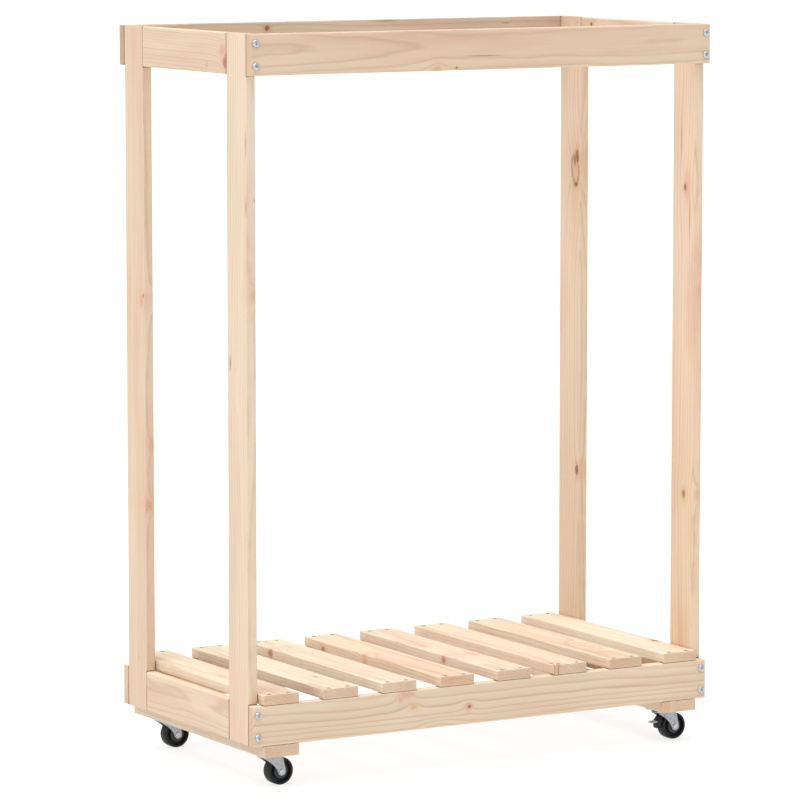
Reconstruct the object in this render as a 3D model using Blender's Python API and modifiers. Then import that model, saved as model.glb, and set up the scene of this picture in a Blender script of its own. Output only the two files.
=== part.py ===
"""Firewood log rack: an open pine frame with a slatted floor, on four swivel casters.

The two casters under the right-hand end have a foot brake. X runs along the rack from left to
right, Y from front to back and Z up from the floor. The origin is on the floor, under the middle
of the rack. Every length is in metres.
"""

from math import acos, atan2, cos, hypot, pi, radians, sin

import bmesh
import bpy
from mathutils import Matrix, Vector

# Room between two pieces that touch, and around a shank or a pin in its hole.
GAP = 0.0003

# The wooden frame.
RACK_WIDTH = 0.765
RACK_DEPTH = 0.400
RACK_HEIGHT = 1.066
STOCK_WIDTH = 0.058       # posts, rails and side rails are planed from one stock
STOCK_THICKNESS = 0.015
STOCK_RADIUS = 0.0020     # rounding along their edges

SLAT_COUNT = 8
SLAT_WIDTH = 0.057
SLAT_THICKNESS = 0.0145
SLAT_INSET = 0.0166       # from the end of the rack to the outer edge of an end slat
SLAT_RADIUS = 0.0015

CASTER_BOARD_THICKNESS = 0.0170
CASTER_HEIGHT = 0.0480    # floor to the top of a caster's plate

# Screws: the radius and length of the shank, the radius and height of the head. The rail screws
# are solids here; the slats, caster boards and plates have the holes that theirs go into.
RAIL_SCREW = {"shank": 0.0020, "length": 0.042, "head": 0.0053, "height": 0.0027}
SLAT_SCREW = {"shank": 0.0016, "length": 0.034, "head": 0.0034, "height": 0.0020}
CASTER_SCREW = {"shank": 0.0018, "length": 0.0150}
RAIL_SCREW_SPACING = 0.0320
SLAT_SCREW_SPACING = 0.0308
DOWEL_RADIUS = 0.0030
DOWEL_LENGTH = 0.0280
DOWEL_SPACING = 0.0280

# Casters: each swivels about an upright rivet, and its wheel trails behind that rivet.
CASTER_INSET_X = 0.0472   # from the end of the rack to the swivel's axis
CASTER_INSET_Y = 0.0415   # from the front or the back to the swivel's axis
CASTER_TRAIL = 0.0150
PLATE_SIDE = 0.0420
PLATE_THICKNESS = 0.0017
PLATE_CORNER = 0.0050
PLATE_HOLE_SPACING = 0.0320
WHEEL_RADIUS = 0.0200
WHEEL_WIDTH = 0.0170
TREAD_CHAMFER = 0.0012
RIM_INNER_RADIUS = 0.0163
HUB_RADIUS = 0.0107
HUB_HALF_WIDTH = 0.0082
WEB_HALF_WIDTH = 0.0030   # the thin disc between the hub and the rim
GROOVE_DRAFT = 0.0005
SHEET = 0.0018            # thickness of the fork's steel
FORK_DISC_RADIUS = 0.0170
FORK_INNER_WIDTH = 0.0192
FORK_DISC_TOP = 0.0434
FORK_TOP_REACH = 0.0129   # from the swivel's axis to either side of a leg, where it meets the disc
FORK_SHOULDERS = ((-0.0132, 0.0402), (0.0172, 0.0400))
FORK_HOLLOW = (0.0050, 0.0305)   # draws the leading edge of a leg inwards
FORK_END_RADIUS = 0.0062
RIVET_RADIUS = 0.0030
RIVET_HEAD_RADIUS = 0.0046
RIVET_HEAD_HEIGHT = 0.0019
AXLE_RADIUS = 0.0025
AXLE_HEAD_RADIUS = 0.0039
AXLE_HEAD_HEIGHT = 0.0012

# The foot brake turns on a pin between the fork's legs, ahead of the wheel.
BRAKE_PIN_X = -0.0030     # from the swivel's axis
BRAKE_PIN_Z = 0.0370
BRAKE_PIN_RADIUS = 0.0012
BRAKE_TRAVEL = radians(8.0)
BRAKE_SHEET = 0.0012
BRAKE_WIDTH = 0.0130
BRAKE_BARREL_RADIUS = 0.0026
BARREL_ARC = (radians(-145), radians(135))
BRAKE_STUB_PROUD = 0.0008
BRAKE_TOE = (-0.0230, 0.0274)
BRAKE_BEND = (-0.0120, 0.0284)
SHOE_WIDTH = 0.0120
SHOE_CLEARANCE = 0.00025  # left between the shoe and the tread when the brake is on
SHOE_ARC = (radians(188), radians(155))
SHOE_BACK = ((-0.0078, 0.0332), (-0.0124, 0.0288), (-0.0136, 0.0284), (-0.0128, 0.0180))

# Heights and depths that follow from those.
BOARD_BOTTOM = CASTER_HEIGHT
RAIL_BOTTOM = BOARD_BOTTOM + CASTER_BOARD_THICKNESS
RAIL_TOP = RAIL_BOTTOM + STOCK_WIDTH
TOP_RAIL_BOTTOM = RACK_HEIGHT - STOCK_WIDTH
END_X = RACK_WIDTH / 2
FACE_Y = RACK_DEPTH / 2
POST_OUTER_Y = FACE_Y - STOCK_THICKNESS - GAP
POST_INNER_Y = FACE_Y - STOCK_THICKNESS - STOCK_WIDTH
SLAT_PITCH = (RACK_WIDTH - 2 * SLAT_INSET - SLAT_WIDTH) / (SLAT_COUNT - 1)
FIRST_SLAT_X = -END_X + SLAT_INSET + SLAT_WIDTH / 2
FORK_OUTER_Y = FORK_INNER_WIDTH / 2 + SHEET
PLATE_TOP = CASTER_HEIGHT - GAP
PLATE_BOTTOM = PLATE_TOP - PLATE_THICKNESS

PINE = (0.86, 0.74, 0.60)
ZINC = (0.62, 0.63, 0.65)
BLACK_PLASTIC = (0.035, 0.036, 0.038)

ENDS = {"left": -1, "right": 1}
FACES = {"front": -1, "back": 1}
LEVELS = {"bottom": RAIL_BOTTOM, "top": TOP_RAIL_BOTTOM}
XZ_PLANE = Matrix.Rotation(pi / 2, 4, "X")


# ---- Scene and materials ----

for old in list(bpy.data.objects):
    bpy.data.objects.remove(old, do_unlink=True)

rack = bpy.data.collections.new("firewood_log_rack")
cutters = bpy.data.collections.new("cutters")
bpy.context.scene.collection.children.link(rack)
bpy.context.scene.collection.children.link(cutters)


def add_material(obj, colour, roughness, metallic):
    material = bpy.data.materials.new(obj.name + "_finish")
    material.use_nodes = True
    shader = material.node_tree.nodes["Principled BSDF"]
    shader.inputs["Base Color"].default_value = (*colour, 1.0)
    shader.inputs["Roughness"].default_value = roughness
    shader.inputs["Metallic"].default_value = metallic
    obj.data.materials.append(material)


def wooden(obj):
    add_material(obj, PINE, 0.62, 0.0)


def zinc_plated(obj):
    add_material(obj, ZINC, 0.38, 0.9)


def plastic(obj):
    add_material(obj, BLACK_PLASTIC, 0.42, 0.0)


# ---- Shapes ----

def add_object(name, mesh, location=(0, 0, 0), parent=None, collection=rack):
    obj = bpy.data.objects.new(name, mesh)
    obj.location = location
    obj.parent = parent
    collection.objects.link(obj)
    return obj


def mesh_from(name, bm):
    mesh = bpy.data.meshes.new(name)
    bm.to_mesh(mesh)
    bm.free()
    return mesh


def box_mesh(name, size):
    bm = bmesh.new()
    bmesh.ops.create_cube(bm, size=1.0)
    bmesh.ops.scale(bm, vec=Vector(size), verts=bm.verts)
    return mesh_from(name, bm)


def round_edges(obj, axis, radius, segments=2):
    """Round the four edges that run along an axis (0, 1 or 2)."""
    bm = bmesh.new()
    bm.from_mesh(obj.data)
    weight = bm.edges.layers.float.new("bevel_weight_edge")
    for edge in bm.edges:
        run = edge.verts[1].co - edge.verts[0].co
        edge[weight] = 1.0 if abs(run[axis]) > 0.99 * run.length else 0.0
    bm.to_mesh(obj.data)
    bm.free()
    bevel = obj.modifiers.new("rounded_edges", "BEVEL")
    bevel.limit_method = "WEIGHT"
    bevel.width = radius
    bevel.segments = segments


def board(name, low, high, radius):
    """A planed board between two corners, rounded along its length."""
    low, high = Vector(low), Vector(high)
    size = high - low
    obj = add_object(name, box_mesh(name, size), (low + high) / 2)
    round_edges(obj, max(range(3), key=lambda axis: size[axis]), radius)
    wooden(obj)
    return obj


def drill(obj, holes, label="holes", segments=6):
    """Cut holes. Each is (one end, other end, radius, radius at the other end), along X, Y or Z."""
    bm = bmesh.new()
    for start, end, radius, end_radius in holes:
        start, end = Vector(start), Vector(end)
        run = end - start
        turn = run.to_track_quat("Z", "Y").to_matrix().to_4x4()
        bmesh.ops.create_cone(bm, cap_ends=True, segments=segments, radius1=radius,
                              radius2=end_radius, depth=run.length,
                              matrix=Matrix.Translation((start + end) / 2) @ turn)
    name = obj.name + "_" + label
    boolean(obj, add_object(name, mesh_from(name, bm), collection=cutters), "DIFFERENCE")


def boolean(obj, tool, operation):
    tool.hide_render = True
    tool.display_type = "WIRE"
    modifier = obj.modifiers.new(tool.name, "BOOLEAN")
    modifier.operation = operation
    modifier.solver = "EXACT"
    modifier.object = tool


def evaluated_mesh(obj, name):
    """The object's mesh with its modifiers applied; the object itself is removed."""
    graph = bpy.context.evaluated_depsgraph_get()
    mesh = bpy.data.meshes.new_from_object(obj.evaluated_get(graph))
    mesh.name = name
    bpy.data.objects.remove(obj, do_unlink=True)
    return mesh


def turned_mesh(name, profile, steps, closed=False):
    """Turn a profile of (radius, height) points about Z. Its outer side runs downwards."""
    bm = bmesh.new()
    points = [bm.verts.new((radius, 0, height)) for radius, height in profile]
    for first, second in zip(points, points[1:]):
        bm.edges.new((first, second))
    if closed:
        bm.edges.new((points[-1], points[0]))
    template = add_object(name, mesh_from(name, bm), collection=cutters)
    screw = template.modifiers.new("turn", "SCREW")
    screw.steps = steps
    screw.render_steps = steps
    screw.use_merge_vertices = True
    screw.merge_threshold = 0.00001
    mesh = evaluated_mesh(template, name)
    mesh.shade_smooth()
    mesh.set_sharp_from_angle(angle=radians(35))
    return mesh


def outline_mesh(name, outlines, thickness):
    """A flat outline in the XZ plane, with any further outlines as holes, given a thickness."""
    curve = bpy.data.curves.new(name, "CURVE")
    curve.dimensions = "2D"
    curve.fill_mode = "BOTH"
    curve.extrude = thickness / 2
    for outline in outlines:
        spline = curve.splines.new("POLY")
        spline.points.add(len(outline) - 1)
        for point, (x, z) in zip(spline.points, outline):
            point.co = (x, z, 0, 1)
        spline.use_cyclic_u = True
    mesh = evaluated_mesh(add_object(name, curve, collection=cutters), name)
    bm = bmesh.new()
    bm.from_mesh(mesh)
    bmesh.ops.remove_doubles(bm, verts=bm.verts, dist=0.00001)
    bmesh.ops.transform(bm, matrix=XZ_PLANE, verts=bm.verts)
    bm.to_mesh(mesh)
    bm.free()
    return mesh


def arc(centre, radius, start, end, steps):
    """Points on an arc in the XZ plane; the angles are counted from +X towards +Z."""
    angles = [start + (end - start) * step / steps for step in range(steps + 1)]
    return [(centre[0] + radius * cos(a), centre[1] + radius * sin(a)) for a in angles]


def circle(centre, radius, steps):
    return arc(centre, radius, 0, 2 * pi, steps)[:-1]


def tangent_angle(point, centre, radius, side):
    """Where a straight line from the point touches the circle, on its left (1) or right (-1)."""
    offset = (point[0] - centre[0], point[1] - centre[1])
    return atan2(offset[1], offset[0]) + side * acos(radius / hypot(*offset))


def hollow(start, pull, end, steps):
    """The points of a bend between two points, drawn towards a third."""
    shares = [step / steps for step in range(1, steps)]
    return [tuple((1 - t) ** 2 * a + 2 * t * (1 - t) * b + t ** 2 * c for a, b, c in zip(start, pull, end))
            for t in shares]


def turned_back(point, pivot, angle):
    """The point before the brake turned by an angle about its pin, tip down."""
    x, z = point[0] - pivot[0], point[1] - pivot[1]
    return (pivot[0] + x * cos(angle) + z * sin(angle), pivot[1] - x * sin(angle) + z * cos(angle))


# ---- Where the fasteners are ----

def pair(middle, spacing):
    return (middle - spacing / 2, middle + spacing / 2)


def straight_hole(start, end, radius):
    return (start, end, radius, radius)


def rail_screw_heights():
    return [z for bottom in LEVELS.values() for z in pair(bottom + STOCK_WIDTH / 2, RAIL_SCREW_SPACING)]


def dowel_heights():
    """Dowels join the ends of the side rails to the posts; both have the holes for them."""
    return [z for bottom in LEVELS.values() for z in pair(bottom + STOCK_WIDTH / 2, DOWEL_SPACING)]


def slat_middles():
    return [FIRST_SLAT_X + number * SLAT_PITCH for number in range(SLAT_COUNT)]


def board_middles():
    """The caster boards lie under the first and the last slat."""
    return {"left": FIRST_SLAT_X, "right": -FIRST_SLAT_X}


def end_screw_places(middle_x):
    """(x, y) of the four screws of a slat or a caster board, two in each long rail."""
    depth = FACE_Y - STOCK_THICKNESS / 2
    return [(x, y) for x in pair(middle_x, SLAT_SCREW_SPACING) for y in (-depth, depth)]


def caster_centres():
    """The name of each corner, with the x and y of its swivel axis."""
    centres = {}
    for face_name, face in FACES.items():
        for end_name, end in ENDS.items():
            x = end * (END_X - CASTER_INSET_X)
            centres[face_name + "_" + end_name] = (x, face * (FACE_Y - CASTER_INSET_Y))
    return centres


def plate_hole_places(centre):
    return [(x, y) for x in pair(centre[0], PLATE_HOLE_SPACING) for y in pair(centre[1], PLATE_HOLE_SPACING)]


def hole_radius(screw):
    return screw["shank"] + GAP


def hole_depth(screw):
    return screw["length"] + 2 * GAP


# ---- The wooden frame ----

def make_posts():
    for face_name, face in FACES.items():
        for end_name, end in ENDS.items():
            xs = sorted((end * END_X, end * (END_X - STOCK_THICKNESS)))
            ys = sorted((face * POST_OUTER_Y, face * POST_INNER_Y))
            post = board("post_" + face_name + "_" + end_name, (xs[0], ys[0], RAIL_BOTTOM),
                         (xs[1], ys[1], RACK_HEIGHT), STOCK_RADIUS)
            x = end * (END_X - STOCK_THICKNESS / 2)
            deepest = face * (FACE_Y - hole_depth(RAIL_SCREW))
            holes = [straight_hole((x, face * FACE_Y, z), (x, deepest, z), hole_radius(RAIL_SCREW))
                     for z in rail_screw_heights()]
            mouth = face * (POST_INNER_Y - 3 * GAP)
            deepest = face * (POST_INNER_Y + DOWEL_LENGTH / 2 + GAP)
            holes += [straight_hole((x, mouth, z), (x, deepest, z), DOWEL_RADIUS + GAP)
                      for z in dowel_heights()]
            drill(post, holes)


def make_long_rails():
    for level, bottom in LEVELS.items():
        for face_name, face in FACES.items():
            ys = sorted((face * FACE_Y, face * (FACE_Y - STOCK_THICKNESS)))
            rail = board("rail_" + level + "_" + face_name, (-END_X, ys[0], bottom),
                         (END_X, ys[1], bottom + STOCK_WIDTH), STOCK_RADIUS)
            outside, inside = face * (FACE_Y + 3 * GAP), face * (POST_OUTER_Y - 3 * GAP)
            middle = END_X - STOCK_THICKNESS / 2
            holes = [straight_hole((x, outside, z), (x, inside, z), hole_radius(RAIL_SCREW))
                     for x in (-middle, middle)
                     for z in pair(bottom + STOCK_WIDTH / 2, RAIL_SCREW_SPACING)]
            if level == "bottom":
                holes += slat_and_board_holes(face)
            drill(rail, holes)


def slat_and_board_holes(face):
    """Blind holes in a bottom rail, from above for the slats and from below for the boards."""
    holes = []
    top = RAIL_TOP + GAP + SLAT_THICKNESS
    radius, depth = hole_radius(SLAT_SCREW), hole_depth(SLAT_SCREW)
    for middle in slat_middles():
        for x, y in end_screw_places(middle):
            if y * face > 0:
                holes.append(straight_hole((x, y, top), (x, y, top - depth), radius))
    for middle in board_middles().values():
        for x, y in end_screw_places(middle):
            if y * face > 0:
                holes.append(straight_hole((x, y, BOARD_BOTTOM), (x, y, BOARD_BOTTOM + depth), radius))
    return holes


def make_side_rails():
    for level, bottom in LEVELS.items():
        for end_name, end in ENDS.items():
            xs = sorted((end * END_X, end * (END_X - STOCK_THICKNESS)))
            reach = POST_INNER_Y - GAP
            rail = board("side_rail_" + level + "_" + end_name, (xs[0], -reach, bottom),
                         (xs[1], reach, bottom + STOCK_WIDTH), STOCK_RADIUS)
            x = end * (END_X - STOCK_THICKNESS / 2)
            mouth, deepest = POST_INNER_Y + GAP, POST_INNER_Y - DOWEL_LENGTH / 2 - GAP
            drill(rail, [straight_hole((x, face * mouth, z), (x, face * deepest, z), DOWEL_RADIUS + GAP)
                         for face in FACES.values()
                         for z in pair(bottom + STOCK_WIDTH / 2, DOWEL_SPACING)])


def make_screwed_board(name, middle_x, bottom, top, seat):
    """A slat or a caster board, its four screw holes countersunk at the seat, its top or bottom."""
    low = (middle_x - SLAT_WIDTH / 2, -FACE_Y, bottom)
    high = (middle_x + SLAT_WIDTH / 2, FACE_Y, top)
    plank = board(name, low, high, SLAT_RADIUS)
    outwards = 1 if seat == top else -1
    shank, head = hole_radius(SLAT_SCREW), SLAT_SCREW["head"] + 2 * GAP
    sink = SLAT_SCREW["height"] + GAP
    places = end_screw_places(middle_x)
    drill(plank, [straight_hole((x, y, bottom - GAP), (x, y, top + GAP), shank) for x, y in places])
    drill(plank, [((x, y, seat + outwards * GAP), (x, y, seat - outwards * sink), head, shank)
                  for x, y in places], "countersinks")


def make_slats():
    for number, middle in enumerate(slat_middles(), start=1):
        top = RAIL_TOP + GAP + SLAT_THICKNESS
        make_screwed_board("slat_" + str(number), middle, RAIL_TOP + GAP, top, top)


def make_caster_boards():
    for end_name, middle in board_middles().items():
        name = "caster_board_" + end_name
        make_screwed_board(name, middle, BOARD_BOTTOM, RAIL_BOTTOM - GAP, BOARD_BOTTOM)
        board_object = bpy.data.objects[name]
        holes = []
        for centre in caster_centres().values():
            if centre[0] * middle > 0:
                for x, y in plate_hole_places(centre):
                    tip = PLATE_BOTTOM - GAP + hole_depth(CASTER_SCREW)
                    holes.append(straight_hole((x, y, PLATE_TOP), (x, y, tip), hole_radius(CASTER_SCREW)))
        drill(board_object, holes, "caster_holes")


# ---- Screws that fasten the long rails to the posts ----

def pan_head(screw):
    """From the middle of the head, down its outer side and down the shank to the point."""
    head, height, shank, length = screw["head"], screw["height"], screw["shank"], screw["length"]
    return [(0, height), (0.6 * head, 0.9 * height), (head, 0.35 * height), (head, 0),
            (shank, 0), (shank, -length + 2 * shank), (0, -length)]


def make_rail_screws():
    mesh = turned_mesh("rail_screw", pan_head(RAIL_SCREW), 8)
    for level, bottom in LEVELS.items():
        lower, upper = pair(bottom + STOCK_WIDTH / 2, RAIL_SCREW_SPACING)
        for face_name, face in FACES.items():
            for end_name, end in ENDS.items():
                for place, z in (("lower", lower), ("upper", upper)):
                    name = "_".join(("rail_screw", level, face_name, end_name, place))
                    x = end * (END_X - STOCK_THICKNESS / 2)
                    screw = add_object(name, mesh.copy(), (x, face * (FACE_Y + GAP), z))
                    screw.rotation_euler.x = -face * pi / 2
                    zinc_plated(screw)


# ---- Casters: each is built about its swivel axis, and its wheel trails towards +X ----

AXLE = (CASTER_TRAIL, WHEEL_RADIUS)
BRAKE_PIN = (BRAKE_PIN_X, BRAKE_PIN_Z)


def make_plate(corner, centre):
    middle_z = (PLATE_TOP + PLATE_BOTTOM) / 2
    plate = add_object("caster_plate_" + corner,
                       box_mesh("plate", (PLATE_SIDE, PLATE_SIDE, PLATE_THICKNESS)),
                       (centre[0], centre[1], middle_z))
    round_edges(plate, 2, PLATE_CORNER)
    low, high = PLATE_BOTTOM - GAP, PLATE_TOP + GAP
    drill(plate, [straight_hole((x, y, low), (x, y, high), hole_radius(CASTER_SCREW))
                  for x, y in plate_hole_places(centre)])
    rivet_hole = straight_hole((*centre, low), (*centre, high), RIVET_RADIUS + GAP)
    drill(plate, [rivet_hole], "rivet_hole", segments=12)
    zinc_plated(plate)


def make_swivel_rivet(corner, centre):
    """Held in the plate; the fork turns on it and rests on its lower head."""
    seat = FORK_DISC_TOP - SHEET - GAP
    profile = [(0, PLATE_TOP), (RIVET_RADIUS, PLATE_TOP), (RIVET_RADIUS, seat), (RIVET_HEAD_RADIUS, seat),
               (0.8 * RIVET_HEAD_RADIUS, seat - 0.8 * RIVET_HEAD_HEIGHT), (0, seat - RIVET_HEAD_HEIGHT)]
    rivet = add_object("swivel_rivet_" + corner, turned_mesh("swivel_rivet", profile, 12), (*centre, 0))
    zinc_plated(rivet)


def fork_leg_outline():
    """One leg from the side: wide under the disc, hollow in front, with a round end about the axle."""
    left, right = FORK_SHOULDERS
    start = tangent_angle(FORK_HOLLOW, AXLE, FORK_END_RADIUS, 1)
    finish = tangent_angle(right, AXLE, FORK_END_RADIUS, -1)
    lower_end = arc(AXLE, FORK_END_RADIUS, start, finish + 2 * pi, 7)
    leading_edge = hollow(left, FORK_HOLLOW, lower_end[0], 5)
    top = FORK_DISC_TOP - SHEET / 2
    return [(FORK_TOP_REACH, top), (-FORK_TOP_REACH, top), left] + leading_edge + lower_end + [right]


def make_fork(corner, swivel, braked):
    disc_bottom = FORK_DISC_TOP - SHEET
    bore = RIVET_RADIUS + GAP
    chamfer = SHEET / 4
    profile = [(FORK_DISC_RADIUS, FORK_DISC_TOP - chamfer), (FORK_DISC_RADIUS, disc_bottom),
               (bore, disc_bottom), (bore, FORK_DISC_TOP), (FORK_DISC_RADIUS - chamfer, FORK_DISC_TOP)]
    fork = add_object("fork_" + corner, turned_mesh("fork_disc", profile, 24, closed=True), parent=swivel)
    holes = [circle(AXLE, AXLE_RADIUS + GAP, 8)]
    if braked:
        holes.append(circle(BRAKE_PIN, BRAKE_PIN_RADIUS + GAP, 8))
    leg_mesh = outline_mesh("fork_leg", [fork_leg_outline()] + holes, SHEET)
    for side_name, side in FACES.items():
        name = "fork_leg_" + side_name + "_" + corner
        depth = side * (FORK_INNER_WIDTH + SHEET) / 2
        leg = add_object(name, leg_mesh, (0, depth, 0), swivel, cutters)
        boolean(fork, leg, "UNION")
    zinc_plated(fork)


def wheel_profile():
    """Tread, raised rim, deep groove, hub and bore; the outer side runs downwards."""
    half = WHEEL_WIDTH / 2
    side = [(AXLE_RADIUS + GAP, HUB_HALF_WIDTH), (HUB_RADIUS, HUB_HALF_WIDTH),
            (HUB_RADIUS + GROOVE_DRAFT, WEB_HALF_WIDTH), (RIM_INNER_RADIUS - GROOVE_DRAFT, WEB_HALF_WIDTH),
            (RIM_INNER_RADIUS, half), (WHEEL_RADIUS - TREAD_CHAMFER, half),
            (WHEEL_RADIUS, half - TREAD_CHAMFER)]
    return side + [(radius, -height) for radius, height in reversed(side)]


def make_wheel(corner, swivel):
    mesh = turned_mesh("wheel", wheel_profile(), 24, closed=True)
    mesh.transform(XZ_PLANE)
    plastic(add_object("wheel_" + corner, mesh, (CASTER_TRAIL, 0, WHEEL_RADIUS), swivel))


def make_axle(corner, swivel):
    """A pin riveted over both of the fork's legs."""
    seat, head = FORK_OUTER_Y + GAP, AXLE_HEAD_HEIGHT
    side = [(0, seat + head), (0.75 * AXLE_HEAD_RADIUS, seat + head),
            (AXLE_HEAD_RADIUS, seat + 0.4 * head), (AXLE_HEAD_RADIUS, seat), (AXLE_RADIUS, seat)]
    mesh = turned_mesh("axle", side + [(radius, -height) for radius, height in reversed(side)], 8)
    mesh.transform(XZ_PLANE)
    zinc_plated(add_object("axle_" + corner, mesh, (CASTER_TRAIL, 0, WHEEL_RADIUS), swivel))


def lever_outline():
    """A barrel about the pin, and a tongue that runs down from it and bends outwards to the toe."""
    barrel = arc(BRAKE_PIN, BRAKE_BARREL_RADIUS, *BARREL_ARC, 7)
    (bend_x, bend_z), (toe_x, toe_z) = BRAKE_BEND, BRAKE_TOE
    toe = [(toe_x, toe_z), (toe_x, toe_z - BRAKE_SHEET)]
    return barrel + [(bend_x - BRAKE_SHEET / 2, bend_z + BRAKE_SHEET)] + toe + [BRAKE_BEND]


def shoe_outline():
    """The shoe's face follows the tread when the brake is on; at rest it stands off from it."""
    pressed = arc(AXLE, WHEEL_RADIUS + SHOE_CLEARANCE, *SHOE_ARC, 6)
    return [turned_back(point, BRAKE_PIN, BRAKE_TRAVEL) for point in pressed] + list(SHOE_BACK)


def make_brake(corner, swivel):
    """A lever with a shoe under it, on round stubs that turn in the fork's legs."""
    pivot = bpy.data.objects.new("brake_axis_" + corner, None)
    pivot.parent = swivel
    pivot.location = (BRAKE_PIN_X, 0, BRAKE_PIN_Z)
    rack.objects.link(pivot)
    from_swivel = Matrix.Translation((-BRAKE_PIN_X, 0, -BRAKE_PIN_Z))
    mesh = outline_mesh("brake_lever", [lever_outline()], BRAKE_WIDTH)
    mesh.transform(from_swivel)
    lever = add_object("brake_lever_" + corner, mesh, parent=pivot)
    shoe = outline_mesh("brake_shoe", [shoe_outline()], SHOE_WIDTH)
    shoe.transform(from_swivel)
    boolean(lever, add_object("brake_shoe_" + corner, shoe, parent=pivot, collection=cutters), "UNION")
    reach = FORK_OUTER_Y + BRAKE_STUB_PROUD
    stubs = turned_mesh("brake_stubs", [(0, reach), (BRAKE_PIN_RADIUS, reach),
                                        (BRAKE_PIN_RADIUS, -reach), (0, -reach)], 8)
    stubs.transform(XZ_PLANE)
    boolean(lever, add_object("brake_stubs_" + corner, stubs, parent=pivot, collection=cutters), "UNION")
    plastic(lever)


def make_casters():
    for corner, centre in caster_centres().items():
        swivel = bpy.data.objects.new("swivel_axis_" + corner, None)
        swivel.location = (*centre, 0)
        rack.objects.link(swivel)
        braked = corner.endswith("right")
        make_plate(corner, centre)
        make_swivel_rivet(corner, centre)
        make_fork(corner, swivel, braked)
        make_wheel(corner, swivel)
        make_axle(corner, swivel)
        if braked:
            make_brake(corner, swivel)


make_posts()
make_long_rails()
make_side_rails()
make_slats()
make_caster_boards()
make_rail_screws()
make_casters()
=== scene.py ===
"""Looks of the firewood log rack: planed pine boards, zinc-plated screws and casters, black wheels.

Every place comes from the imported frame, in metres: X runs along the rack, Y from front to back and
Z up. Boards are made in their own frame (X along the grain, Y across, Z out of the outer face).
"""

from collections import namedtuple
from math import acos, atan2, cos, hypot, pi, radians, sin

import bmesh
import bpy
from mathutils import Matrix, Vector, noise


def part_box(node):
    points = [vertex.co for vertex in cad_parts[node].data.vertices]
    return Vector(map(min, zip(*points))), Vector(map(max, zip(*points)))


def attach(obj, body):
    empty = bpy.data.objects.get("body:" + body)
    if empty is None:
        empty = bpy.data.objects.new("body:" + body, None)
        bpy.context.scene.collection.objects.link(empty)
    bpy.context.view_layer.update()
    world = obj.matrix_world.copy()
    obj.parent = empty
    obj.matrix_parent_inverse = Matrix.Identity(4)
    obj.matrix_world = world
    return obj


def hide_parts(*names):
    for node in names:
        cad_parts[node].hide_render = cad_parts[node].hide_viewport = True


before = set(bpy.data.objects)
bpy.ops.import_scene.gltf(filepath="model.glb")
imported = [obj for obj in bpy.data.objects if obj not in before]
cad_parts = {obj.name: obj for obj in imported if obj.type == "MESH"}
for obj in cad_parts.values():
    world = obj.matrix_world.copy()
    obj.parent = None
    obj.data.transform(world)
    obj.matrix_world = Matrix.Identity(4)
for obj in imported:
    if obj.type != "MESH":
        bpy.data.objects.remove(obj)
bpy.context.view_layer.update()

GAP = 0.0003  # room between two pieces that touch, as in the frame
FACES = {"front": -1, "back": 1}
CORNERS = [face + "_" + end for face in FACES for end in ("left", "right")]
XZ_PLANE = Matrix.Rotation(pi / 2, 4, "X")


# ---- Node materials, written as formulas ----

def srgb(red, green, blue):
    """A colour given from 0 to 255, as light."""
    def linear(value):
        value = value / 255
        return value / 12.92 if value <= 0.04045 else ((value + 0.055) / 1.055) ** 2.4
    return (linear(red), linear(green), linear(blue), 1.0)


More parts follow.
